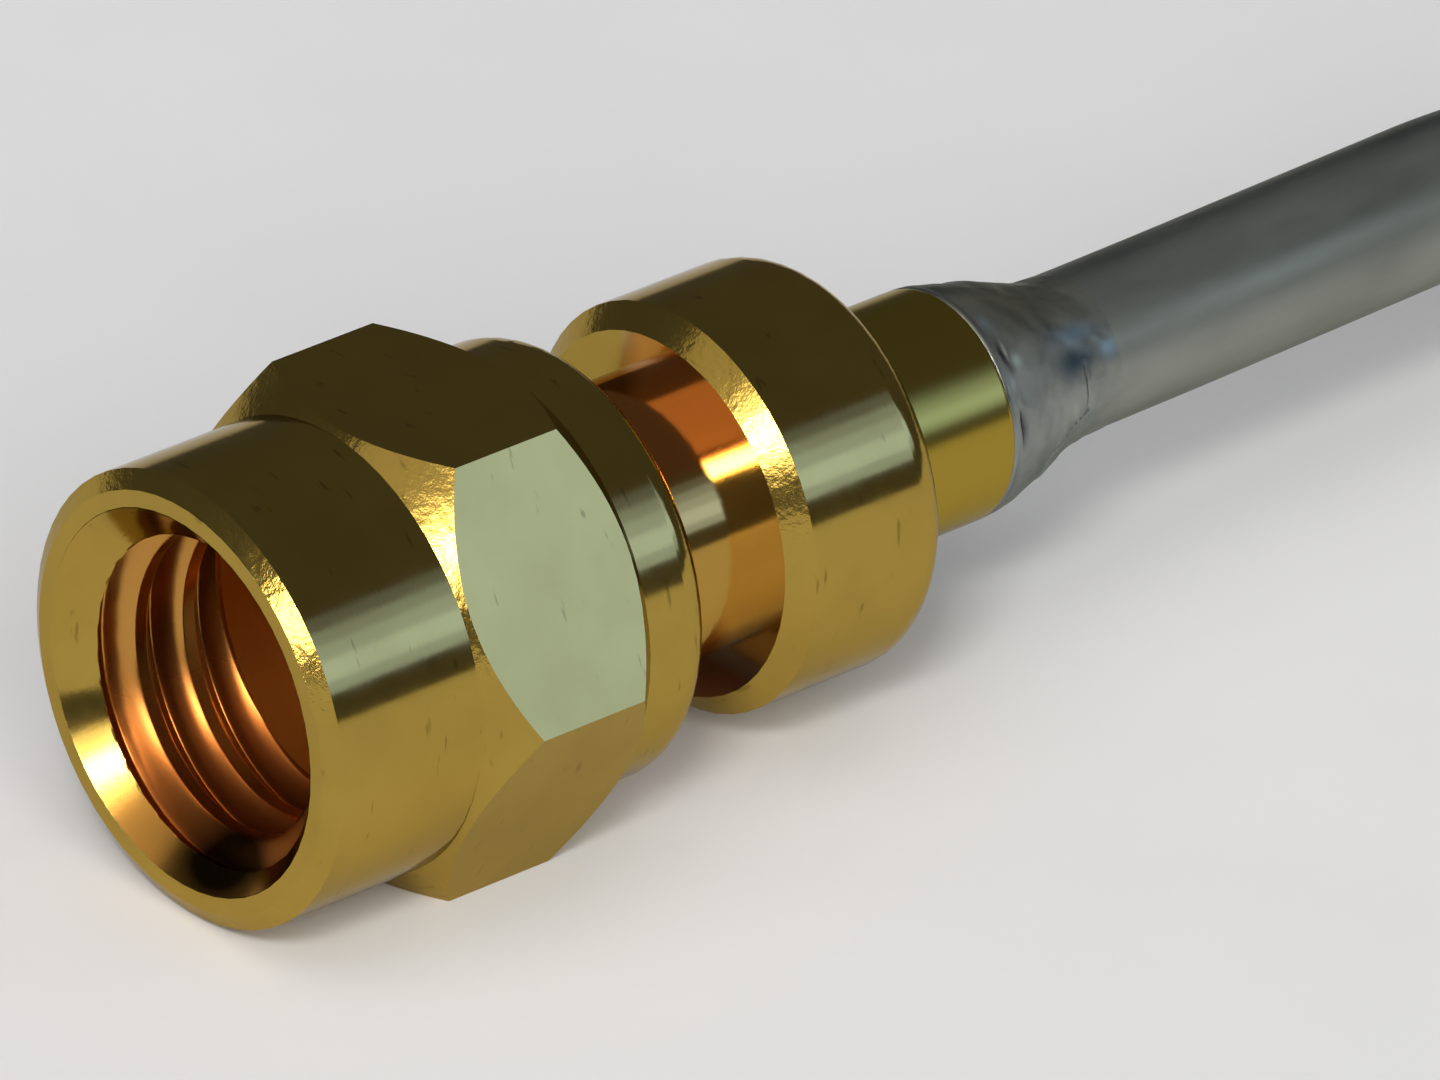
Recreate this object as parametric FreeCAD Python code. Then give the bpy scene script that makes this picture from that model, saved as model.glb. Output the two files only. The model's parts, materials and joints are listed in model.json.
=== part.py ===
import FreeCAD, Part
import math
import os

# Threaded subminiature coaxial plug, soldered on a tin-plated semi-rigid cable.
# Millimetres. X runs along the connector's axis, from the mating end towards the cable, and Z is up.
# The origin is on the axis, in the reference plane: the shoulder where the outer contact's sleeve begins.
# A spring ring in two matched grooves holds the nut on the neck, where it only turns.
# One of the nut's six flats lies on the surface below.

V = FreeCAD.Vector
X_AXIS = V(1, 0, 0)

# Clearances and fits
press_gap = 0.01            # pieces pushed or soldered into each other
slide_gap = 0.03            # each groove beside the spring ring
groove_gap = 0.06           # the nut's groove around the ring
nut_bore_gap = 0.10         # the nut's plain bore around the neck

# Thread, 10-32 UNF: the bore is at its largest diameter
thread_major_d = 4.84
thread_end = 2.40           # behind the nut's front face
countersink_depth = 0.21    # at 45 degrees, so it is also the mouth's reach beyond the thread
thread_relief_depth = 0.26  # beyond the thread's largest radius
thread_relief_length = 0.40
jack_room_depth = 0.18      # plain bore between the thread's relief and the reference plane
jack_room_length = 1.75

# Coupling nut, a 6.35 mm (1/4 inch) hexagon and 6.44 mm long
nut_wall = 0.495            # from the thread's relief to a flat
nut_front_step = 0.07       # from the flats in to the round nose
nut_rear_step = 0.155       # from the flats in to the round rear
hex_cone_start = 2.44       # behind the nut's front face
hex_cone_end = 1.11         # ahead of the nut's rear face
cone_overrun = 0.20         # the chamfer cones run this far past the hexagon's corners
front_chamfer_depth = 0.16
front_chamfer_width = 0.245
nut_rear_radius = 0.45
nut_rear_land = 0.96        # the nut behind the ring's groove
lip_chamfer = 0.12
rounding_share = 0.97       # of its wall that a rounding may take up at most

# Outer contact and neck of the body
sleeve_d = 3.00
sleeve_length = 1.55
sleeve_chamfer = 0.08
neck_d = 3.90
neck_chamfer = 0.10
bare_neck = 1.61            # the neck between nut and flange

# Retaining ring, an open spring ring that bridges the gap between neck and nut
ring_front = 0.45           # behind the reference plane
ring_width = 0.45
ring_opening = 0.90
ring_neck_hold = 0.10       # how far the ring reaches into the neck's groove
ring_nut_hold = 0.12        # and into the nut's groove

# Flange and solder ferrule
flange_d = 5.66
flange_length = 2.62
flange_chamfer_length = 0.28
flange_chamfer_width = 0.32
flange_rear_radius = 0.50
ferrule_d = 3.24
ferrule_length = 2.19
ferrule_rear_radius = 0.10

# Bores of the body
front_bore_d = 2.40
front_bore_depth = 2.85
middle_bore_d = 1.72
cable_seat = 4.35           # shoulder that the cable's outer conductor meets

# Insulator and centre contact
insulator_recess = 0.05
contact_recess = 0.12
contact_d = 0.73
contact_hole_gap = 0.015
contact_shoulder_d = 1.20
contact_shoulder_length = 0.41
contact_shoulder_gap = 0.02
socket_bore_d = 0.52
socket_depth = 1.70
socket_mouth = 0.05
slot_width = 0.12
slot_length = 1.20
wire_hole_depth = 0.85
solder_cup_depth = 0.14

# Semi-rigid cable
cable_d = 2.197
dielectric_d = 1.676
wire_d = 0.511
wire_end = 0.52             # front end of the centre conductor, inside the contact
bare_dielectric = 0.80      # the far end is stripped for soldering: dielectric past the tube's end
bare_wire = 2.40            # wire past the tube's end
cable_runs = [2.6, 8.3, 11.4, 10.2]      # along X, from the ferrule to the first bend and so on
cable_arc_shares = [0.10, 0.45, 0.45]    # share of the shorter run that each bend's tangent takes up
cable_lean = 0.032          # sideways for each millimetre along X, from the first bend on

# Solder fillet behind the ferrule: distance behind the ferrule's end, and height above the cable
solder_profile = [(0.34, 0.46), (0.98, 0.26), (1.52, 0.12), (1.98, 0.03)]
solder_end = 2.30
solder_root_height = 0.50

# Cutting shapes
cut_overrun = 1.0           # a cutting shape runs this far past the piece
match_tolerance = 1e-4      # for finding an edge by its place and diameter
hexagon_sides = 6

# Diameters inside the nut, and the ring's grooves
# The neck's groove is deep enough for the ring to close and pass through the nut's bore
thread_relief_d = thread_major_d + 2 * thread_relief_depth
jack_room_d = thread_major_d + 2 * jack_room_depth
nut_bore_d = neck_d + 2 * nut_bore_gap
ring_inner_d = neck_d - 2 * ring_neck_hold
ring_outer_d = nut_bore_d + 2 * ring_nut_hold
neck_groove_d = ring_inner_d - 2 * ring_nut_hold - 2 * press_gap
nut_groove_d = ring_outer_d + 2 * groove_gap

# The nut's outside
nut_hex_flats = thread_relief_d + 2 * nut_wall
nut_front_d = nut_hex_flats - 2 * nut_front_step
nut_rear_d = nut_hex_flats - 2 * nut_rear_step
hex_corner_r = nut_hex_flats / math.sqrt(3.0)

# Places along the axis
groove_front = ring_front - slide_gap
groove_rear = ring_front + ring_width + slide_gap
nut_front = -(thread_end + thread_relief_length + jack_room_length)
nut_rear = groove_rear + nut_rear_land
flange_front = nut_rear + bare_neck
flange_rear = flange_front + flange_length
ferrule_rear = flange_rear + ferrule_length
front_bore_end = front_bore_depth - sleeve_length
floor_z = -nut_hex_flats / 2


def revolved(outline):
    """Solid turned about the X axis from a closed outline of (x, radius) points."""
    points = [V(x, radius, 0) for x, radius in outline]
    face = Part.Face(Part.makePolygon(points + points[:1]))
    return face.revolve(V(0, 0, 0), X_AXIS, 360)


def ring_edges(solid, x, diameter):
    """The circular edges of a turned solid at one place and diameter."""
    found = []
    for edge in solid.Edges:
        if not isinstance(edge.Curve, Part.Circle):
            continue
        same_place = abs(edge.Curve.Center.x - x) < match_tolerance
        if same_place and abs(edge.Curve.Radius - diameter / 2) < match_tolerance:
            found.append(edge)
    return found


def hexagonal_bar(across_flats, start, end):
    """Hexagonal bar along X with one flat facing straight down."""
    corner = across_flats / math.sqrt(3.0)
    points = []
    for index in range(hexagon_sides):
        angle = 2 * math.pi * index / hexagon_sides
        points.append(V(start, corner * math.cos(angle), corner * math.sin(angle)))
    face = Part.Face(Part.makePolygon(points + points[:1]))
    return face.extrude(V(end - start, 0, 0))


def coupling_nut():
    """Turned nut: round nose, hexagon chamfered by a cone at each end, threaded bore and ring groove."""
    front_r = nut_front_d / 2
    rear_r = nut_rear_d / 2
    cone_r = hex_corner_r + cone_overrun
    cone_end = nut_rear - hex_cone_end
    lip_r = nut_bore_d / 2 + lip_chamfer
    major_r = thread_major_d / 2
    relief_start = nut_front + thread_end
    relief_end = relief_start + thread_relief_length
    outline = [
        (nut_front, front_r - front_chamfer_width),
        (nut_front + front_chamfer_depth, front_r),
        (nut_front + hex_cone_start, front_r),
        (nut_front + hex_cone_start + cone_r - front_r, cone_r),
        (cone_end - cone_r + rear_r, cone_r),
        (cone_end, rear_r),
        (nut_rear, rear_r),
        (nut_rear, lip_r),
        (nut_rear - lip_chamfer, nut_bore_d / 2),
        (groove_rear, nut_bore_d / 2),
        (groove_rear, nut_groove_d / 2),
        (groove_front, nut_groove_d / 2),
        (groove_front, nut_bore_d / 2),
        (press_gap, nut_bore_d / 2),
        (press_gap, jack_room_d / 2),
        (relief_end, jack_room_d / 2),
        (relief_end, thread_relief_d / 2),
        (relief_start, thread_relief_d / 2),
        (relief_start, major_r),
        (nut_front + countersink_depth, major_r),
        (nut_front, major_r + countersink_depth),
    ]
    turned = revolved(outline)
    nut = turned.common(hexagonal_bar(nut_hex_flats, nut_front - cut_overrun, nut_rear + cut_overrun))
    rounding = min(nut_rear_radius, rounding_share * (rear_r - lip_r))
    return nut.makeFillet(rounding, ring_edges(nut, nut_rear, nut_rear_d))


def retaining_ring():
    """Open spring ring that sits in the grooves of neck and nut."""
    inner_r = ring_inner_d / 2
    outer_r = ring_outer_d / 2
    ring_rear = ring_front + ring_width
    ring = revolved([(ring_front, inner_r), (ring_front, outer_r), (ring_rear, outer_r), (ring_rear, inner_r)])
    opening = Part.makeBox(ring_width + 2 * cut_overrun, ring_opening, outer_r + cut_overrun)
    opening.translate(V(ring_front - cut_overrun, -ring_opening / 2, 0))
    return ring.cut(opening)


def connector_body():
    """One turned piece: outer contact sleeve, grooved neck, flange and solder ferrule, bored right through."""
    sleeve_r = sleeve_d / 2
    neck_r = neck_d / 2
    groove_r = neck_groove_d / 2
    flange_r = flange_d / 2
    cable_bore_r = cable_d / 2 + 2 * press_gap
    outline = [
        (-sleeve_length, sleeve_r - sleeve_chamfer),
        (-sleeve_length + sleeve_chamfer, sleeve_r),
        (0, sleeve_r),
        (0, neck_r - neck_chamfer),
        (neck_chamfer, neck_r),
        (groove_front, neck_r),
        (groove_front, groove_r),
        (groove_rear, groove_r),
        (groove_rear, neck_r),
        (flange_front, neck_r),
        (flange_front, flange_r - flange_chamfer_width),
        (flange_front + flange_chamfer_length, flange_r),
        (flange_rear, flange_r),
        (flange_rear, ferrule_d / 2),
        (ferrule_rear, ferrule_d / 2),
        (ferrule_rear, cable_bore_r),
        (cable_seat, cable_bore_r),
        (cable_seat, middle_bore_d / 2),
        (front_bore_end, middle_bore_d / 2),
        (front_bore_end, front_bore_d / 2),
        (-sleeve_length, front_bore_d / 2),
    ]
    body = revolved(outline)
    body = body.makeFillet(flange_rear_radius, ring_edges(body, flange_rear, flange_d))
    return body.makeFillet(ferrule_rear_radius, ring_edges(body, ferrule_rear, ferrule_d))


def insulator():
    """Dielectric sleeve between outer and centre contact, counterbored behind for the contact's shoulder."""
    outer_r = front_bore_d / 2 - press_gap
    hole_r = contact_d / 2 + contact_hole_gap
    shoulder_r = contact_shoulder_d / 2 + contact_shoulder_gap
    seat = front_bore_end - contact_shoulder_length - contact_shoulder_gap
    return revolved([
        (-sleeve_length + insulator_recess, hole_r),
        (-sleeve_length + insulator_recess, outer_r),
        (front_bore_end, outer_r),
        (front_bore_end, shoulder_r),
        (seat, shoulder_r),
        (seat, hole_r),
    ])


def centre_contact():
    """Slotted socket in front, shoulder and wire hole behind."""
    front = -sleeve_length + contact_recess
    rear = front_bore_end - press_gap
    shoulder_front = rear - contact_shoulder_length
    contact_r = contact_d / 2
    bore_r = socket_bore_d / 2
    wire_r = wire_d / 2 + 2 * press_gap
    socket_end = front + socket_depth
    hole_end = rear - wire_hole_depth
    contact = revolved([
        (front, bore_r + socket_mouth),
        (front, contact_r),
        (shoulder_front, contact_r),
        (shoulder_front, contact_shoulder_d / 2),
        (rear, contact_shoulder_d / 2),
        (rear, wire_r + solder_cup_depth),
        (rear - solder_cup_depth, wire_r),
        (hole_end, wire_r),
        (hole_end, 0),
        (socket_end, 0),
        (socket_end, bore_r),
        (front + socket_mouth, bore_r),
    ])
    slot_height = contact_d + 2 * cut_overrun
    slot = Part.makeBox(slot_length + cut_overrun, slot_width, slot_height)
    slot.translate(V(front - cut_overrun, -slot_width / 2, -slot_height / 2))
    return contact.cut(slot)


def contact_solder():
    """Solder in the countersunk mouth of the contact's wire hole."""
    rear = front_bore_end - press_gap
    wire_r = wire_d / 2 + press_gap
    cup_r = wire_d / 2 + 2 * press_gap
    return revolved([
        (rear - solder_cup_depth + press_gap, wire_r),
        (rear - solder_cup_depth + press_gap, cup_r),
        (rear, cup_r + solder_cup_depth - press_gap),
        (rear, wire_r),
    ])


def cable_solder():
    """Fillet that runs from the ferrule's end down to the cable, hollow to concave along its slope."""
    cable_r = cable_d / 2 + press_gap
    start = ferrule_rear + press_gap
    foot = ferrule_rear + solder_end
    top = V(start, cable_r + solder_root_height, 0)
    slope = [top]
    slope += [V(ferrule_rear + along, cable_r + height, 0) for along, height in solder_profile]
    slope.append(V(foot, cable_r, 0))
    curve = Part.BSplineCurve()
    curve.interpolate(slope)
    edges = [
        curve.toShape(),
        Part.makeLine(V(foot, cable_r, 0), V(start, cable_r, 0)),
        Part.makeLine(V(start, cable_r, 0), top),
    ]
    return Part.Face(Part.Wire(edges)).revolve(V(0, 0, 0), X_AXIS, 360)


def cable_route():
    """Corner points of the cable's axis behind the ferrule: a little aside, then down to lie on the surface."""
    lying_z = floor_z + cable_d / 2
    heights = [0, 0, lying_z, lying_z]
    points = [V(ferrule_rear, 0, 0)]
    first_bend_x = ferrule_rear + cable_runs[0]
    for run, height in zip(cable_runs, heights):
        x = points[-1].x + run
        points.append(V(x, cable_lean * (x - first_bend_x), height))
    return points


def cable_path(start_x, bared=0):
    """Straight runs joined by tangent arcs, from a place inside the body to the free end or a bared length past it."""
    corners = cable_route()
    edges = []
    last = V(start_x, 0, 0)
    for before, corner, after, share in zip(corners, corners[1:], corners[2:], cable_arc_shares):
        run_in = corner - before
        run_out = after - corner
        shorter = min(run_in.Length, run_out.Length)
        half_turn = run_in.getAngle(run_out) / 2
        tangent = share * shorter
        radius = tangent / math.tan(half_turn)
        arc_start = corner - V(run_in).normalize() * tangent
        arc_end = corner + V(run_out).normalize() * tangent
        inward = V(run_out).normalize() - V(run_in).normalize()
        centre = corner + inward.normalize() * (radius / math.cos(half_turn))
        arc_middle = centre + (corner - centre).normalize() * radius
        edges.append(Part.makeLine(last, arc_start))
        edges.append(Part.Arc(arc_start, arc_middle, arc_end).toShape())
        last = arc_end
    last_run = corners[-1] - corners[-2]
    edges.append(Part.makeLine(last, corners[-1] + last_run.normalize() * bared))
    return Part.Wire(edges)


def rod_along(path, diameter):
    """Round rod swept along the cable's path."""
    start = path.Vertexes[0].Point
    disc = Part.Face(Part.Wire(Part.makeCircle(diameter / 2, start, X_AXIS)))
    return path.makePipe(disc)


def cable_outer_conductor():
    """Tin-plated copper tube, its front end against the shoulder inside the body."""
    path = cable_path(cable_seat + press_gap)
    return rod_along(path, cable_d).cut(rod_along(path, dielectric_d + 2 * press_gap))


def cable_dielectric():
    """Dielectric core, which runs on through the body's middle bore to the contact."""
    path = cable_path(front_bore_end + press_gap, bare_dielectric)
    return rod_along(path, dielectric_d).cut(rod_along(path, wire_d + 2 * press_gap))


def cable_centre_conductor():
    """Wire that ends in the contact's wire hole."""
    return rod_along(cable_path(wire_end, bare_wire), wire_d)


MAKERS = {
    "coupling_nut": coupling_nut,
    "retaining_ring": retaining_ring,
    "connector_body": connector_body,
    "insulator": insulator,
    "centre_contact": centre_contact,
    "contact_solder": contact_solder,
    "cable_solder": cable_solder,
    "cable_outer_conductor": cable_outer_conductor,
    "cable_dielectric": cable_dielectric,
    "cable_centre_conductor": cable_centre_conductor,
}

os.makedirs("parts", exist_ok=True)
for name, make in MAKERS.items():
    shape = make()
    shape.exportStep("parts/%s.step" % name)
    box = shape.BoundBox
    print("%s: %d solid, %.4f mm3, x %.2f to %.2f, z %.2f to %.2f, valid %s" % (
        name, len(shape.Solids), shape.Volume, box.XMin, box.XMax, box.ZMin, box.ZMax, shape.isValid()))
free_path = cable_path(ferrule_rear)
print("cable from the ferrule to its free end: %.2f mm" % free_path.Length)
for edge in free_path.Edges:
    if isinstance(edge.Curve, Part.Circle):
        print("cable bend radius: %.1f mm" % edge.Curve.Radius)
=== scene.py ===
import json
import math

import bpy
from mathutils import Matrix, Vector, noise

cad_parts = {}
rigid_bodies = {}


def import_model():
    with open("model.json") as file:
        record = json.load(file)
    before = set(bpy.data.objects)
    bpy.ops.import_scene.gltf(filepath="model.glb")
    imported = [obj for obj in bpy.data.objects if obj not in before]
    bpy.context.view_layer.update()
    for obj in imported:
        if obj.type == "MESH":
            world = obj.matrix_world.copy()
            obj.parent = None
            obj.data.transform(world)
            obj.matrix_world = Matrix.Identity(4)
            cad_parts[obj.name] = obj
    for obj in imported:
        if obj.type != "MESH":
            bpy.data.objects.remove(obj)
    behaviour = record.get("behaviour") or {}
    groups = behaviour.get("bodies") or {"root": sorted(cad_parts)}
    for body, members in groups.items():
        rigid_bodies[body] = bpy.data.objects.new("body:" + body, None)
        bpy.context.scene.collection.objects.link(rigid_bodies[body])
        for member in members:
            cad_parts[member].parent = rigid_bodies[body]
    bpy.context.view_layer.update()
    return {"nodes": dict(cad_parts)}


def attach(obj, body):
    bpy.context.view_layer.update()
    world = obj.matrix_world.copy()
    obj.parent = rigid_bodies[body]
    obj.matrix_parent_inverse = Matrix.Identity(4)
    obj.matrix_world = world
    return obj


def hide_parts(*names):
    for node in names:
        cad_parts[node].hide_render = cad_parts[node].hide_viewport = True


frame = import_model()
nodes = frame["nodes"]
scene = bpy.context.scene

MM = 0.001

# Places along the axis and radii, in millimetres, as in the part's source
NUT_FRONT = -4.55
FLANGE_FRONT = 3.50
FERRULE_REAR = 8.31
FLOOR_Z = -3.175
CABLE_R = 1.0985
DIELECTRIC_R = 0.838
WIRE_R = 0.2555
BARE_DIELECTRIC = 0.80
BARE_WIRE = 2.40
COUNTERSINK_R = 2.618


def new_mesh(name, points, faces, smooth=True):
    """Mesh object from points in millimetres."""
    mesh = bpy.data.meshes.new(name)
    mesh.from_pydata([(x * MM, y * MM, z * MM) for x, y, z in points], [], faces)
    mesh.validate()
    mesh.polygons.foreach_set("use_smooth", [smooth] * len(mesh.polygons))
    mesh.update()
    made = bpy.data.objects.new(name, mesh)
    scene.collection.objects.link(made)
    return made


def ring_faces(rings, count):
    """Quads between consecutive closed rings of points."""
    faces = []
    for ring in range(rings - 1):
        near, far = ring * count, (ring + 1) * count
        for i in range(count):
            j = (i + 1) % count
            faces.append((near + i, near + j, far + j, far + i))
    return faces


# Camera at the photograph's viewing angle, its place in millimetres
CAMERA_LENS = 460.9
CAMERA_PLACE = (-134.736, -158.584, 115.369)
CAMERA_RIGHT = Vector((0.75832, -0.65159, 0.01984))
CAMERA_UP = Vector((0.30101, 0.37699, 0.87594))
camera_data = bpy.data.cameras.new("camera")
camera_data.sensor_width = 36
camera_data.lens = CAMERA_LENS
camera_data.clip_start = 0.01
camera_data.clip_end = 20
camera = bpy.data.objects.new("camera", camera_data)
right = CAMERA_RIGHT.normalized()
back = right.cross(CAMERA_UP.normalized()).normalized()
up = back.cross(right).normalized()
camera.matrix_world = Matrix((
    (right.x, up.x, back.x, CAMERA_PLACE[0] * MM),
    (right.y, up.y, back.y, CAMERA_PLACE[1] * MM),
    (right.z, up.z, back.z, CAMERA_PLACE[2] * MM),
    (0, 0, 0, 1),
))
scene.collection.objects.link(camera)
scene.camera = camera


# Materials
def node_material(name):
    """New material: itself, its node tree and its Principled shader."""
    material = bpy.data.materials.new(name)
    material.use_nodes = True
    tree = material.node_tree
    tree.nodes.clear()
    output = tree.nodes.new("ShaderNodeOutputMaterial")
    shader = tree.nodes.new("ShaderNodeBsdfPrincipled")
    tree.links.new(shader.outputs["BSDF"], output.inputs["Surface"])
    return material, tree, shader


def coordinates(tree, scale=(1, 1, 1)):
    """The object's own coordinates, scaled."""
    where = tree.nodes.new("ShaderNodeTexCoord")
    mapping = tree.nodes.new("ShaderNodeMapping")
    mapping.inputs["Scale"].default_value = scale
    tree.links.new(where.outputs["Object"], mapping.inputs["Vector"])
    return mapping.outputs["Vector"]


def noise_texture(tree, vector, scale, detail, roughness=0.55):
    """Cloudy pattern; the scale is in cells per metre."""
    texture = tree.nodes.new("ShaderNodeTexNoise")
    texture.inputs["Scale"].default_value = scale
    texture.inputs["Detail"].default_value = detail
    texture.inputs["Roughness"].default_value = roughness
    tree.links.new(vector, texture.inputs["Vector"])
    return texture.outputs["Fac"]


def ramp(tree, value, low, high):
    """Colour ramp between two (position, colour) pairs."""
    made = tree.nodes.new("ShaderNodeValToRGB")
    for element, (position, colour) in zip(made.color_ramp.elements, (low, high)):
        element.position, element.color = position, (*colour, 1)
    tree.links.new(value, made.inputs["Fac"])
    return made.outputs["Color"]


def grey(value):
    """A colour with equal parts."""
    return (value, value, value)


def bump(tree, shader, height, distance, strength, before=None):
    """Relief on the shader, over an earlier relief if there is one; the distance is in metres."""
    made = tree.nodes.new("ShaderNodeBump")
    made.inputs["Strength"].default_value = strength
    made.inputs["Distance"].default_value = distance
    tree.links.new(height, made.inputs["Height"])
    if before is not None:
        tree.links.new(before, made.inputs["Normal"])
    tree.links.new(made.outputs["Normal"], shader.inputs["Normal"])
    return made.outputs["Normal"]


def maths(tree, operation, first, second=None):
    """Math node; each input is a number or a socket."""
    made = tree.nodes.new("ShaderNodeMath")
    made.operation = operation
    for socket, value in zip(made.inputs, (first, second)):
        if value is None:
            continue
        if isinstance(value, (int, float)):
            socket.default_value = value
        else:
            tree.links.new(value, socket)
    return made.outputs["Value"]


def times(tree, *factors):
    """Product of numbers or sockets."""
    product = factors[0]
    for factor in factors[1:]:
        product = maths(tree, "MULTIPLY", product, factor)
    return product


def opposite(tree, mask):
    """1 where the mask is 0, and 0 where it is 1."""
    return maths(tree, "SUBTRACT", 1.0, mask)


def step_up(tree, value, low, high):
    """0 below low, 1 above high, smooth between."""
    made = tree.nodes.new("ShaderNodeMapRange")
    made.interpolation_type = "SMOOTHSTEP"
    made.inputs["From Min"].default_value = low
    made.inputs["From Max"].default_value = high
    tree.links.new(value, made.inputs["Value"])
    return made.outputs["Result"]


def within(tree, value, low, high, soft=0.08):
    """1 between low and high, with soft edges."""
    above_low = step_up(tree, value, low - soft, low + soft)
    above_high = step_up(tree, value, high - soft, high + soft)
    return times(tree, above_low, opposite(tree, above_high))


def placed(tree, axis="X"):
    """Place along one of the object's axes, in millimetres; X is the connector's axis."""
    split = tree.nodes.new("ShaderNodeSeparateXYZ")
    tree.links.new(coordinates(tree, (1000, 1000, 1000)), split.inputs["Vector"])
    return split.outputs[axis]


def from_axis(tree):
    """Distance from the connector's axis, in millimetres."""
    length = tree.nodes.new("ShaderNodeVectorMath")
    length.operation = "LENGTH"
    tree.links.new(coordinates(tree, (0, 1000, 1000)), length.inputs[0])
    return length.outputs["Value"]


def normal_along_axis(tree):
    """The surface's own normal, as far as it points along the axis."""
    where = tree.nodes.new("ShaderNodeTexCoord")
    split = tree.nodes.new("ShaderNodeSeparateXYZ")
    tree.links.new(where.outputs["Normal"], split.inputs["Vector"])
    return split.outputs["X"]


def slanted_faces(tree):
    """1 on chamfers and roundings, 0 on faces that lie along or square to the axis."""
    slant = maths(tree, "ABSOLUTE", normal_along_axis(tree))
    square = step_up(tree, slant, 0.93, 0.98)
    return times(tree, step_up(tree, slant, 0.25, 0.5), opposite(tree, square))


def mixed(tree, amount, first, second):
    """Mix of two colours; each is a colour or a socket."""
    made = tree.nodes.new("ShaderNodeMix")
    made.data_type = "RGBA"
    tree.links.new(amount, made.inputs["Factor"])
    for socket, value in ((made.inputs[6], first), (made.inputs[7], second)):
        if isinstance(value, tuple):
            socket.default_value = (*value, 1)
        else:
            tree.links.new(value, socket)
    return made.outputs[2]


def tinted_by_mesh(tree, base):
    """The colour times the tint stored on the mesh, which also carries painted reflections and shade."""
    attribute = tree.nodes.new("ShaderNodeAttribute")
    attribute.attribute_name = "tint"
    product = tree.nodes.new("ShaderNodeVectorMath")
    product.operation = "MULTIPLY"
    tree.links.new(base, product.inputs[0])
    tree.links.new(attribute.outputs["Color"], product.inputs[1])
    return product.outputs["Vector"]


GOLD_EDGE_TINT = (0.72, 0.68, 0.58, 1)
CHAMFER_ROUGHNESS = 0.17
CHAMFER_RELIEF = 9e-6
TINTED_CHAMFER_SHARE = 0.1
SPECK_SHADE = 0.72


def gold_plating(name, colour, dark, rough, zones=(), tinted=False):
    """Gold plating over a turned surface.

    It has fine turning marks, faint waviness, specks and rougher chamfers. Each zone is a mask, the
    colour there, which in several zones is painted light or shade, and its roughness.
    """
    material, tree, shader = node_material(name)
    shader.inputs["Metallic"].default_value = 1.0
    shader.inputs["Specular Tint"].default_value = GOLD_EDGE_TINT
    cloud = noise_texture(tree, coordinates(tree), scale=700.0, detail=3.0)
    tint = ramp(tree, cloud, (0.3, dark), (0.62, colour))
    stretched = coordinates(tree, (5.0, 1.0, 1.0))
    specks = noise_texture(tree, stretched, scale=1500.0, detail=2.0, roughness=0.6)
    speck_colour = tuple(part * SPECK_SHADE for part in dark)
    base = mixed(tree, step_up(tree, specks, 0.66, 0.74), tint, speck_colour)
    patches = noise_texture(tree, coordinates(tree), scale=1800.0, detail=4.0)
    roughness = ramp(tree, patches, (0.3, grey(rough * 0.8)), (0.7, grey(rough * 1.25)))
    chamfers = slanted_faces(tree)
    for zone, zone_colour, zone_rough in zones:
        mask = zone(tree)
        base = mixed(tree, mask, base, zone_colour)
        roughness = mixed(tree, mask, roughness, grey(zone_rough))
    if tinted:
        base = tinted_by_mesh(tree, base)
        chamfers = times(tree, chamfers, TINTED_CHAMFER_SHARE)
    tree.links.new(base, shader.inputs["Base Color"])
    roughness = mixed(tree, chamfers, roughness, grey(CHAMFER_ROUGHNESS))
    tree.links.new(roughness, shader.inputs["Roughness"])
    turned = coordinates(tree, (30.0, 1.0, 1.0))
    marks = noise_texture(tree, turned, scale=900.0, detail=2.0, roughness=0.6)
    first = bump(tree, shader, marks, distance=1.2e-6, strength=0.5)
    waves = noise_texture(tree, coordinates(tree), scale=900.0, detail=2.0)
    second = bump(tree, shader, waves, distance=6e-6, strength=0.35, before=first)
    chatter = noise_texture(tree, coordinates(tree), scale=5200.0, detail=3.0, roughness=0.65)
    bump(tree, shader, times(tree, chatter, chamfers), CHAMFER_RELIEF, strength=1.0, before=second)
    return material


# Zones of the gold plating. Reaches are distances from the axis that take in the zone's walls, and all
# numbers are in millimetres.
BORE_REACH = 2.74
NECK_REACH = 2.05
UNDERSIDE = -3.5


def below(tree, height, soft):
    """1 below a height, with a soft edge."""
    return within(tree, placed(tree, "Z"), UNDERSIDE, height, soft)


def inside_nut(tree):
    """1 on the walls of the nut's bore, behind its countersink, where they are painted lighter and redder
    as painted bounce light.
    """
    length = within(tree, placed(tree), -4.2, 4.0)
    return times(tree, within(tree, from_axis(tree), 0.0, BORE_REACH), length)


def behind_countersink(tree):
    """1 on the thread, 0 on the 45 degree cone in front of it."""
    reach = maths(tree, "ADD", placed(tree), from_axis(tree))
    cone = NUT_FRONT + COUNTERSINK_R
    return step_up(tree, reach, cone + 0.005, cone + 0.03)


def low_thread(tree):
    """1 on the lower part of the thread, which is painted darker and red-brown as painted shade and bounce
    light, and is duller.
    """
    return times(tree, behind_countersink(tree), below(tree, -0.85, 0.75))


def low_cone(tree):
    """1 on the lowest part of the countersink, which is coloured a little redder."""
    ahead = opposite(tree, behind_countersink(tree))
    inside = within(tree, from_axis(tree), 0.0, COUNTERSINK_R, 0.01)
    return times(tree, ahead, inside, below(tree, -1.95, 0.18))


def facing_front(tree):
    """1 on faces that look at the mating end."""
    return step_up(tree, times(tree, normal_along_axis(tree), -1.0), 0.90, 0.97)


def flange_front(tree):
    """1 on the flange's front face, on the side that shares its light with the neck, where it is painted
    pale as painted bounce light.
    """
    length = within(tree, placed(tree), FLANGE_FRONT - 0.15, FLANGE_FRONT + 0.1, 0.05)
    side = within(tree, placed(tree, "Y"), -4.0, 0.6, 0.3)
    return times(tree, facing_front(tree), length, side)


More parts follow.
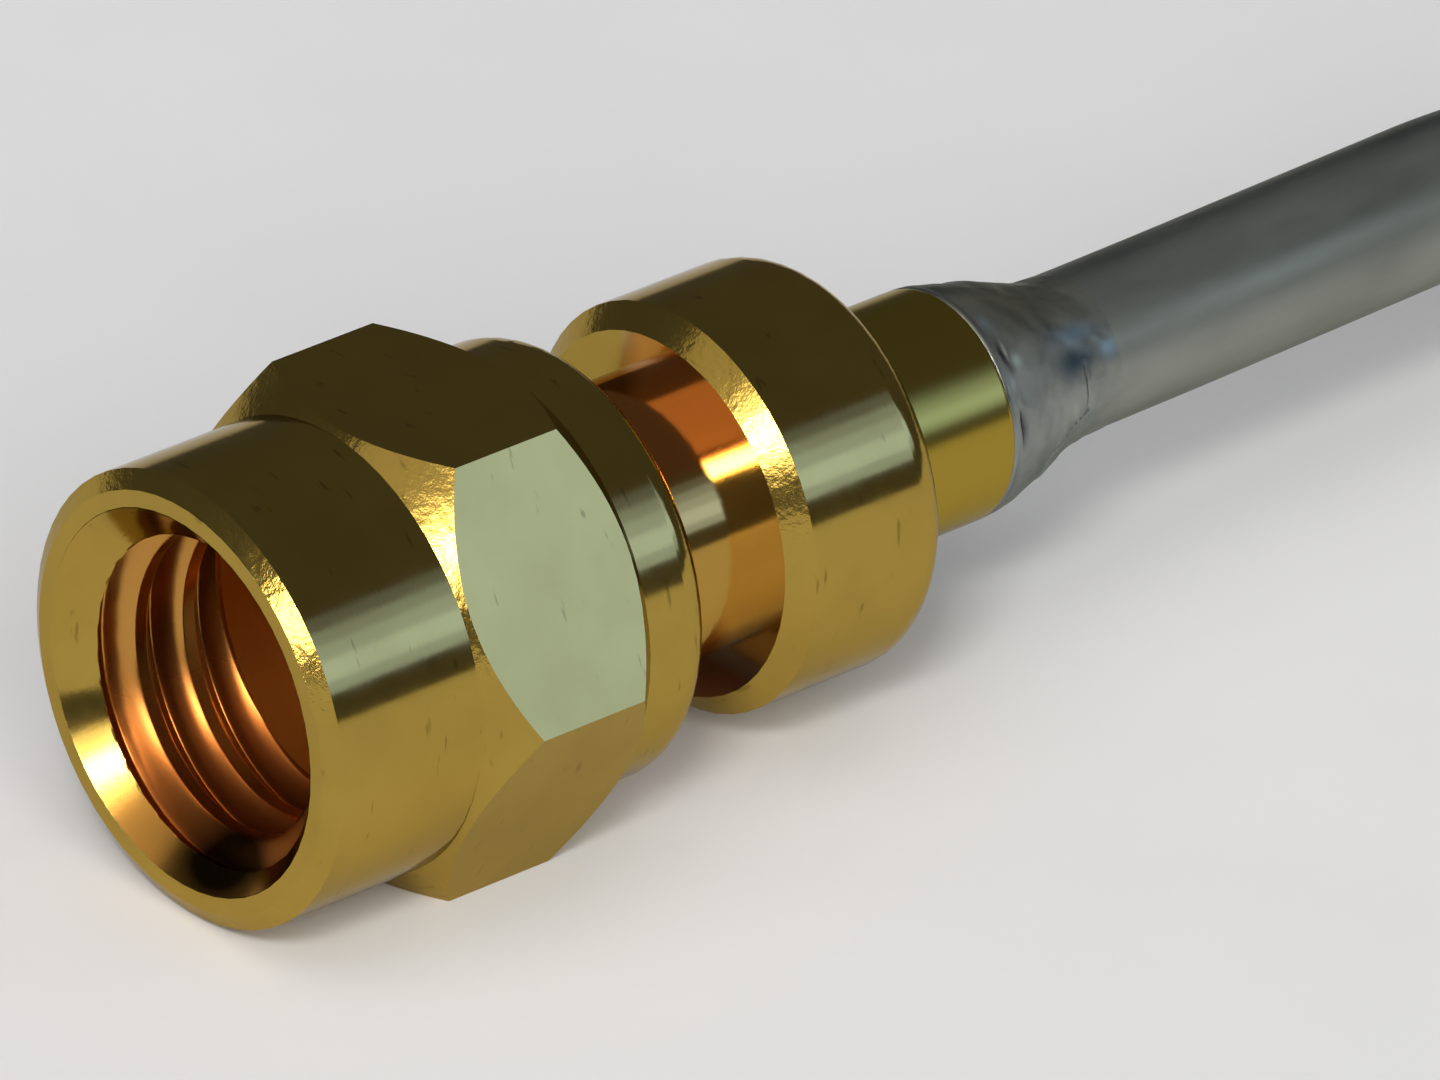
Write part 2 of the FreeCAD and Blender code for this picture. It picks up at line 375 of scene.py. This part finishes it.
def flange_foot(tree):
    """1 on the lowest part of the flange's front face, which is painted dark as painted shade below the
    neck.
    """
    return times(tree, flange_front(tree), below(tree, -1.45, 0.35))


def bare_neck(tree):
    """1 on the neck, which is coloured a little redder."""
    length = within(tree, placed(tree), 0.0, FLANGE_FRONT + 0.1, 0.02)
    wall = opposite(tree, facing_front(tree))
    return times(tree, within(tree, from_axis(tree), 0.0, NECK_REACH), length, wall)


def neck_top(tree):
    """1 on the upper part of the neck, which is painted reddest as a painted reflection of the flange's
    front face.
    """
    return times(tree, bare_neck(tree), step_up(tree, placed(tree, "Z"), 1.30, 1.50))


def ferrule(tree):
    """1 on the ferrule, which is coloured a little darker and is rougher."""
    return within(tree, placed(tree), 6.2, 9.0)


# GOLD and BRONZE each have a colour and its darker patches; the others are colours of zones
GOLD = ((0.443, 0.298, 0.058), (0.400, 0.266, 0.051))
# Painted bounce light: the thread is painted redder, standing in for light reflected back and forth inside
# the bore.
THREAD_BOUNCE_GOLD = (0.53, 0.265, 0.058)
# Painted shade and bounce light: the lower thread is painted darker and red-brown.
LOW_THREAD_SHADE_GOLD = (0.45, 0.140, 0.026)
LOW_CONE_GOLD = (0.58, 0.28, 0.05)
# Painted bounce light: the walls of the nut's bore are painted lighter and redder, standing in for light
# reflected round inside them.
NUT_BORE_BOUNCE_GOLD = (0.80, 0.44, 0.11)
NECK_GOLD = (0.47, 0.275, 0.053)
# Painted reflection: the upper neck is painted red, standing in for the flange's front face mirrored on
# it.
NECK_BOUNCE_RED = (0.55, 0.185, 0.036)
FERRULE_GOLD = (0.39, 0.27, 0.036)
# Painted bounce light: the flange's front face is painted pale beside the neck, standing in for light
# passed between the two.
FLANGE_BOUNCE_GOLD = (0.92, 0.75, 0.50)
# Painted shade: the flange's front face is painted dark red-brown below the neck.
FLANGE_FOOT_SHADE = (0.36, 0.14, 0.06)
BRONZE = ((0.40, 0.22, 0.09), (0.34, 0.18, 0.07))

gold_nut = gold_plating("gold_plated_brass", *GOLD, 0.11, [(inside_nut, NUT_BORE_BOUNCE_GOLD, 0.42)])
gold_thread = gold_plating("gold_plated_thread", *GOLD, 0.13, [
    (behind_countersink, THREAD_BOUNCE_GOLD, 0.21),
    (low_thread, LOW_THREAD_SHADE_GOLD, 0.32),
    (low_cone, LOW_CONE_GOLD, 0.22),
], tinted=True)
gold_body = gold_plating("gold_plated_body", *GOLD, 0.11, [
    (flange_front, FLANGE_BOUNCE_GOLD, 0.11),
    (flange_foot, FLANGE_FOOT_SHADE, 0.14),
    (bare_neck, NECK_GOLD, 0.11),
    (neck_top, NECK_BOUNCE_RED, 0.11),
    (ferrule, FERRULE_GOLD, 0.20),
])
gold_contact = gold_plating("gold_plated_contact", *GOLD, 0.16)
bronze = gold_plating("bronze_spring", *BRONZE, 0.25)


GREY_EDGE_TINT = (0.5, 0.5, 0.47, 1)


def grey_metal(name, colour, dark, rough, relief, scale, stretch=(1, 1, 1), tinted=False):
    """Tin, solder or wire: soft reflections with cloudy roughness, tinted by the mesh if asked."""
    material, tree, shader = node_material(name)
    shader.inputs["Metallic"].default_value = 1.0
    shader.inputs["Specular Tint"].default_value = GREY_EDGE_TINT
    cloud = noise_texture(tree, coordinates(tree, stretch), scale, detail=4.0)
    base = ramp(tree, cloud, (0.3, dark), (0.7, colour))
    if tinted:
        base = tinted_by_mesh(tree, base)
    tree.links.new(base, shader.inputs["Base Color"])
    patches = noise_texture(tree, coordinates(tree, stretch), scale * 2.3, detail=3.0)
    roughness = ramp(tree, patches, (0.3, grey(rough * 0.8)), (0.7, grey(rough * 1.2)))
    tree.links.new(roughness, shader.inputs["Roughness"])
    lumps = noise_texture(tree, coordinates(tree, stretch), scale * 1.5, detail=4.0)
    bump(tree, shader, lumps, relief, strength=0.6)
    return material


# Colour, its darker patches, roughness, relief and scale of each grey metal and of the cut copper
TIN = ((0.34, 0.35, 0.31), (0.25, 0.26, 0.225), 0.42, 1e-5, 700.0)
SOLDER = ((0.33, 0.345, 0.32), (0.24, 0.255, 0.24), 0.40, 3e-5, 1100.0)
SILVER = ((0.62, 0.61, 0.57), (0.55, 0.54, 0.50), 0.25, 4e-6, 2500.0)
COPPER = ((0.55, 0.28, 0.18), (0.45, 0.22, 0.14), 0.35, 1e-5, 4000.0)

tin = grey_metal("tinned_copper", *TIN, stretch=(0.35, 1, 1))
solder = grey_metal("solder", *SOLDER)
solder_lumps = grey_metal("solder_lumps", *SOLDER, tinted=True)
silver = grey_metal("silvered_wire", *SILVER, stretch=(0.2, 1, 1))
copper = grey_metal("copper_cut", *COPPER)


def plastic(name, colour, dark):
    """Smooth plastic with faint clouds."""
    material, tree, shader = node_material(name)
    shader.inputs["Roughness"].default_value = 0.45
    cloud = noise_texture(tree, coordinates(tree), scale=2500.0, detail=3.0)
    tree.links.new(ramp(tree, cloud, (0.35, dark), (0.65, colour)), shader.inputs["Base Color"])
    grain = noise_texture(tree, coordinates(tree), scale=6000.0, detail=2.0)
    bump(tree, shader, grain, distance=3e-6, strength=0.5)
    return material


white_plastic = plastic("white_dielectric", (0.80, 0.80, 0.77), (0.74, 0.74, 0.70))

MATERIALS = {
    "coupling_nut": gold_nut,
    "retaining_ring": bronze,
    "connector_body": gold_body,
    "insulator": white_plastic,
    "centre_contact": gold_contact,
    "contact_solder": solder,
    "cable_solder": solder,
    "cable_outer_conductor": tin,
    "cable_dielectric": white_plastic,
    "cable_centre_conductor": silver,
}
for name, material in MATERIALS.items():
    nodes[name].data.materials.clear()
    nodes[name].data.materials.append(material)


# Turned surfaces with relief and tints
SHARP_EDGE = math.radians(50)


def limited(value):
    """The value, kept between 0 and 1."""
    return min(max(value, 0.0), 1.0)


def eased(value):
    """0 to 1, with a soft start and end."""
    return value * value * (3 - 2 * value)


def blob(x, angle, place):
    """Soft spot on a turned surface: its centre and reach, in millimetres along it and in degrees."""
    centre_x, centre_angle, reach_x, reach_angle = place
    return math.exp(-((x - centre_x) / reach_x) ** 2 - ((angle - centre_angle) / reach_angle) ** 2)


def turned_surface(name, material, origin, places, angles, radius_at, tint_at, last_radius, last_tint):
    """Surface around the axis, from its radius and tint at each place and angle, and a last inner ring."""
    points = []
    tints = []

    def add(x, radius, angle, tint):
        turn = math.radians(angle)
        points.append((origin + x, radius * math.cos(turn), radius * math.sin(turn)))
        tints.append(tint)

    for x in places:
        for angle in angles:
            add(x, radius_at(x, angle), angle, tint_at(x, angle))
    for angle in angles:
        add(places[-1], last_radius, angle, last_tint)
    made = new_mesh(name, points, ring_faces(len(places) + 1, len(angles)))
    layer = made.data.color_attributes.new("tint", "FLOAT_COLOR", "POINT")
    for element, tint in zip(layer.data, tints):
        element.color = (*tint, 1)
    made.data.materials.append(material)
    made.data.set_sharp_from_angle(angle=SHARP_EDGE)
    return made


# Coupling thread, 10-32 UNF, right-handed, with the countersink that cuts away its first crest
PITCH = 0.794
THREAD_MAJOR_R = 2.413
THREAD_MINOR_R = 2.03
THREAD_RELIEF_R = 2.43
THREAD_START = 0.002
THREAD_END = 2.40
THREAD_STEPS = 170
THREAD_SIDES = 240
CREST_PHASE = 0.23
CREST_FLAT = 0.25
ROOT_FLAT = 0.12
FLANK_ROUNDING = 0.4
# Painted dark reflection: a spot low in the nut's mouth is darkened, standing in for dark surroundings
# mirrored there.
DARK_REFLECTION_SPOT = (0.38, -103, 0.42, 20)
DARK_REFLECTION_STRENGTH = 1.6
DARK_REFLECTION_LIMIT = 0.95


def thread_radius(x, angle):
    """Radius of the thread and its countersink at a distance behind the nut's front face."""
    turn = (x - CREST_PHASE) / PITCH - angle / 360
    from_crest = abs(turn - round(turn))
    flank = limited((from_crest - CREST_FLAT / 2) / (0.5 - CREST_FLAT / 2 - ROOT_FLAT / 2))
    height = (1 - FLANK_ROUNDING) * flank + FLANK_ROUNDING * eased(flank)
    thread = THREAD_MINOR_R + (THREAD_MAJOR_R - THREAD_MINOR_R) * height
    return max(thread, COUNTERSINK_R - x)


def thread_reflection_tint(x, angle):
    """Painted dark reflection low in the nut's mouth."""
    return grey(1 - min(DARK_REFLECTION_STRENGTH * blob(x, angle, DARK_REFLECTION_SPOT), DARK_REFLECTION_LIMIT))


thread = turned_surface(
    "coupling_thread",
    gold_thread,
    NUT_FRONT,
    [THREAD_START + (THREAD_END - THREAD_START) * step / THREAD_STEPS for step in range(THREAD_STEPS + 1)],
    [360 * i / THREAD_SIDES - 180 for i in range(THREAD_SIDES)],
    thread_radius,
    thread_reflection_tint,
    THREAD_RELIEF_R,
    grey(1.0),
)
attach(thread, "nut")

# Solder fillet, lumpy, with a wavy lip near its foot
SOLDER_LENGTH = 2.30
SOLDER_HEIGHT = 0.485
SOLDER_OVERLAP = 0.075
SOLDER_SLOPE = 1.2
SOLDER_STEPS = 130
SOLDER_SIDES = 300
LUMP_HEIGHT = 0.030
LIP_DEPTH = 0.045
LIP_WIDTH = 0.035

# Soft spots, each with the depth of its pit
PITS = [
    ((0.17, 133, 0.06, 7), 0.05),
    ((0.16, 170, 0.05, 9), 0.06),
    ((0.55, 60, 0.12, 12), 0.05),
    ((0.9, 290, 0.2, 15), 0.04),
]
# Soft spots, each with its tint: a warmer patch on top, painted blue reflections and a painted glint,
# painted shade in the two pits, and a lighter and a darker patch on the near side
SHEEN_SHADE_AND_TONE_SPOTS = [
    ((0.90, 100, 1.60, 30), (1.02, 0.92, 0.74)),
    ((1.46, 151, 0.46, 11), (0.20, 0.28, 0.39)),
    ((1.60, 134, 0.40, 6), (1.00, 1.25, 1.60)),
    ((2.14, 151, 0.12, 6), (1.05, 1.30, 1.65)),
    ((0.17, 133, 0.06, 7), (0.25, 0.25, 0.27)),
    ((0.33, 139, 0.08, 4), (1.60, 1.75, 1.70)),
    ((0.20, 115, 0.09, 5), (1.10, 1.25, 1.40)),
    ((0.16, 170, 0.05, 9), (0.35, 0.35, 0.37)),
    ((1.30, 180, 0.45, 12), (1.30, 1.30, 1.28)),
    ((0.60, 200, 0.45, 14), (0.80, 0.80, 0.80)),
]
FOOT_TINT = (1.04, 1.02, 0.96)


def lip_place(angle):
    """Distance behind the ferrule of the wavy lip: near the foot on the sides, further forward below."""
    return 1.67 - 0.85 * eased(limited((angle - 187) / 14))


def solder_radius(x, angle):
    """Radius of the fillet at a distance behind the ferrule, with its lumps, pits and lip."""
    slope = 0.5 + 0.5 * math.cos(math.pi * max(x, 0.0) / SOLDER_LENGTH)
    height = SOLDER_HEIGHT * slope ** SOLDER_SLOPE
    turn = math.radians(angle)
    spot = Vector((x * 2.1, 2.6 * math.cos(turn), 2.6 * math.sin(turn)))
    fading = min(max(x, 0.0) / 0.15, (SOLDER_LENGTH - x) / 0.30, 1.0)
    smooth_top = 1 - 0.6 * math.exp(-((angle - 103) / 32) ** 2)
    lumps = LUMP_HEIGHT * fading * smooth_top * (noise.noise(spot) + 0.5 * noise.noise(spot * 2.3))
    for place, depth in PITS:
        lumps -= depth * blob(x, angle, place)
    side = limited((angle - 152) / 12) * limited((300 - angle) / 20)
    lumps -= LIP_DEPTH * side * math.exp(-((x - lip_place(angle)) / LIP_WIDTH) ** 2)
    rim = 0.02 * max(1 - abs(x) / SOLDER_OVERLAP, 0.0)
    tuck = 1.1 * max(-x - 0.6 * SOLDER_OVERLAP, 0.0)
    film = 0.003 + 0.009 * min((SOLDER_LENGTH - x) / 0.5, 1.0)
    return CABLE_R + film + rim - tuck + max(height + lumps, 0.0)


def solder_tint(x, angle):
    """Tint of the fillet, up to the cable's own at its foot, with the painted reflections, glint and pit
    shade of its spots.
    """
    tint = Vector((1, 1, 1)).lerp(Vector(FOOT_TINT), max(x / SOLDER_LENGTH, 0.0) ** 3)
    for place, colour in SHEEN_SHADE_AND_TONE_SPOTS:
        tint = tint.lerp(Vector(colour), blob(x, angle, place))
    return tint


solder_reach = SOLDER_LENGTH + SOLDER_OVERLAP
fillet = turned_surface(
    "solder_fillet",
    solder_lumps,
    FERRULE_REAR,
    [-SOLDER_OVERLAP + solder_reach * step / SOLDER_STEPS for step in range(SOLDER_STEPS + 1)],
    [360 * i / SOLDER_SIDES for i in range(SOLDER_SIDES)],
    solder_radius,
    solder_tint,
    CABLE_R - 0.03,
    FOOT_TINT,
)
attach(fillet, "plug")
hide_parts("cable_solder")

# Cable: outer conductor, dielectric and wire along one smooth line
ROUTE = [
    (8.31, 0, 0),
    (10.91, 0, 0),
    (15.0, 0.1309, 0),
    (19.21, 0.2656, 0),
    (30.61, 0.6304, -2.0765),
    (40.81, 0.9568, -2.0765),
]
line = bpy.data.curves.new("cable_route", "CURVE")
line.dimensions = "3D"
spline = line.splines.new("NURBS")
spline.points.add(len(ROUTE) - 1)
for point, place in zip(spline.points, ROUTE):
    point.co = (place[0] * MM, place[1] * MM, place[2] * MM, 1)
spline.order_u = 3
spline.use_endpoint_u = True
spline.resolution_u = 40
line_object = bpy.data.objects.new("cable_route", line)
path_mesh = bpy.data.meshes.new_from_object(line_object)
path = [vertex.co / MM for vertex in path_mesh.vertices]
bpy.data.objects.remove(line_object)
bpy.data.meshes.remove(path_mesh)

TUBE_SIDES = 96
EDGE_BREAK = 0.02
HIDDEN_LAP = 0.02
INSIDE_TUBE = 3.0


def rod(name, radius, spine, inner, count):
    """Round rod along a line, its far edge slightly broken, its end a disc or an annulus."""
    points = []

    def add_ring(centre, reach):
        for k in range(count):
            angle = 2 * math.pi * k / count
            points.append(centre + side * (reach * math.cos(angle)) + top * (reach * math.sin(angle)))

    last = len(spine) - 1
    for i, centre in enumerate(spine):
        along = (spine[min(i + 1, last)] - spine[max(i - 1, 0)]).normalized()
        top = along.cross(Vector((0, 1, 0))).normalized() * -1
        side = top.cross(along)
        add_ring(centre, radius - (EDGE_BREAK if i == last else 0))
    add_ring(spine[-1], inner)
    made = new_mesh(name, [tuple(point) for point in points], ring_faces(len(spine) + 1, count))
    made.data.set_sharp_from_angle(angle=math.radians(35))
    return made


end_point = path[-1]
end_way = (path[-1] - path[-2]).normalized()


def past_end(length):
    """Line through the cable's end, from inside the tube to a length past it."""
    return [end_point + end_way * reach for reach in (-INSIDE_TUBE, 0, length - EDGE_BREAK, length)]


tube_line = path[:-1] + [end_point - end_way * EDGE_BREAK, end_point]
tube = rod("semi_rigid_cable", CABLE_R, tube_line, DIELECTRIC_R - HIDDEN_LAP, TUBE_SIDES)
core = rod("bared_dielectric", DIELECTRIC_R, past_end(BARE_DIELECTRIC), WIRE_R - HIDDEN_LAP, 64)
wire = rod("bared_wire", WIRE_R, past_end(BARE_WIRE), 0.0, 48)
tube.data.materials.append(tin)
tube.data.materials.append(copper)
for face in tube.data.polygons[-TUBE_SIDES:]:
    face.material_index = 1
core.data.materials.append(white_plastic)
wire.data.materials.append(silver)
for piece, node, slot in [
    (tube, "cable_outer_conductor", "tinned_copper"),
    (core, "cable_dielectric", "white_dielectric"),
    (wire, "cable_centre_conductor", "silvered_wire"),
]:
    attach(piece, "plug")
    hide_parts(node)

# Floor
FLOOR_REACH = 1500
FLOOR_GREY = (0.87, 0.90)
corners = [(x * FLOOR_REACH, y * FLOOR_REACH, FLOOR_Z) for x, y in ((-1, -1), (1, -1), (1, 1), (-1, 1))]
floor = new_mesh("floor", corners, [(0, 1, 2, 3)], smooth=False)
floor_material, floor_tree, floor_shader = node_material("pale_floor")
floor_shader.inputs["Roughness"].default_value = 0.9
floor_shader.inputs["Specular IOR Level"].default_value = 0.1
paper = noise_texture(floor_tree, coordinates(floor_tree), scale=120.0, detail=3.0)
paper_colour = ramp(floor_tree, paper, (0.3, grey(FLOOR_GREY[0])), (0.7, grey(FLOOR_GREY[1])))
floor_tree.links.new(paper_colour, floor_shader.inputs["Base Color"])
floor.data.materials.append(floor_material)

# Dim surroundings
world = bpy.data.worlds.new("surroundings")
world.use_nodes = True
world.node_tree.nodes["Background"].inputs["Color"].default_value = (0.80, 0.85, 1.0, 1)
world.node_tree.nodes["Background"].inputs["Strength"].default_value = 0.12
scene.world = world

GOLD_NAMES = ("coupling_nut", "connector_body", "centre_contact", "retaining_ring", "coupling_thread")
gold_pieces = [piece for piece in scene.objects if piece.name in GOLD_NAMES]
other_pieces = [piece for piece in scene.objects if piece.type == "MESH" and piece not in gold_pieces]


def soft_light(name, direction, distance, size, radiance, colour, pieces=None):
    """Rectangular soft light facing the connector, on some pieces or on all.

    The distance and size are in metres, and the radiance is what a mirror would show of the light.
    """
    width, height = size
    data = bpy.data.lights.new(name, "AREA")
    data.shape = "RECTANGLE"
    data.size = width
    data.size_y = height
    data.energy = radiance * math.pi * width * height
    data.color = colour
    made = bpy.data.objects.new(name, data)
    toward = Vector(direction).normalized()
    made.location = toward * distance
    made.rotation_mode = "QUATERNION"
    made.rotation_quaternion = toward.to_track_quat("Z", "Y")
    scene.collection.objects.link(made)
    if pieces is not None:
        group = bpy.data.collections.new(name + "_pieces")
        for piece in pieces:
            group.objects.link(piece)
        made.light_linking.receiver_collection = group
    return made


# Window on the right: strips from its sharp sill up to its soft top, each with its lower and upper
# height in degrees and its share of the light. Gold shows the sky in it bluer than the grey metals
# do, so each has its own lamps.
WINDOW_AZIMUTH = math.radians(-52.3)
WINDOW_DISTANCE = 0.6
WINDOW_WIDTH = 0.36
WINDOW_STRIPS = [
    (11.0, 16.0, 0.65),
    (16.0, 24.0, 1.0),
    (24.0, 30.0, 0.68),
    (30.0, 35.0, 0.45),
    (35.0, 40.0, 0.15),
]
WINDOW_GOLD = (0.75, 1.30, 4.0)
WINDOW_GREY = (0.70, 0.83, 0.90)
for low, high, share in WINDOW_STRIPS:
    height = math.radians((low + high) / 2)
    level = math.cos(height)
    direction = (level * math.cos(WINDOW_AZIMUTH), level * math.sin(WINDOW_AZIMUTH), math.sin(height))
    size = (WINDOW_WIDTH, 2 * WINDOW_DISTANCE * math.tan(math.radians(high - low) / 2))
    for metal, colour, pieces in (("gold", WINDOW_GOLD, gold_pieces), ("grey", WINDOW_GREY, other_pieces)):
        soft_light("window_%s_%d" % (metal, low), direction, WINDOW_DISTANCE, size, share, colour, pieces)

# A lamp and two bright window panes on the left, soft light from above, a fill that only the matt
# floor shows, and soft light behind the connector for the cable and its solder. The panes light the
# gold alone, so that the pale floor doesn't clip to white.
WARM = (1.0, 0.98, 0.95)
PANE_LEFT = (-0.857, -0.246, 0.454)
LIGHTS = [
    ("lamp_left", (-0.578, -0.49, 0.65), 0.6, (0.14, 0.09), 34.0, WARM, None),
    ("window_left", PANE_LEFT, 0.6, (0.14, 0.13), 17.0, (1.0, 0.97, 1.1), gold_pieces),
    ("glow_left", PANE_LEFT, 0.61, (0.30, 0.26), 3.2, (1.0, 0.97, 1.0), gold_pieces),
    ("pane_left", (-0.965, -0.07, 0.25), 0.6, (0.14, 0.14), 13.0, (1.0, 0.97, 1.0), gold_pieces),
    ("ceiling_left", (-0.60, 0.10, 0.80), 0.8, (0.70, 0.60), 0.6, (1.0, 0.95, 0.95), None),
    ("overhead", (-0.10, -0.15, 1.0), 0.7, (0.50, 0.50), 0.9, WARM, None),
    ("camera_fill", (-0.45, -0.75, 0.48), 0.8, (0.60, 0.50), 3.9, WARM, None),
    ("sky_behind", (0.58, 0.10, 0.80), 0.8, (1.0, 0.9), 0.10, (0.95, 1.0, 0.95), other_pieces),
    ("wall_behind", (0.95, -0.28, 0.17), 0.8, (0.46, 0.34), 0.42, (0.95, 1.0, 1.0), other_pieces),
]
for light in LIGHTS:
    soft_light(*light)
scene.objects["camera_fill"].visible_glossy = False

scene.view_settings.view_transform = "Standard"
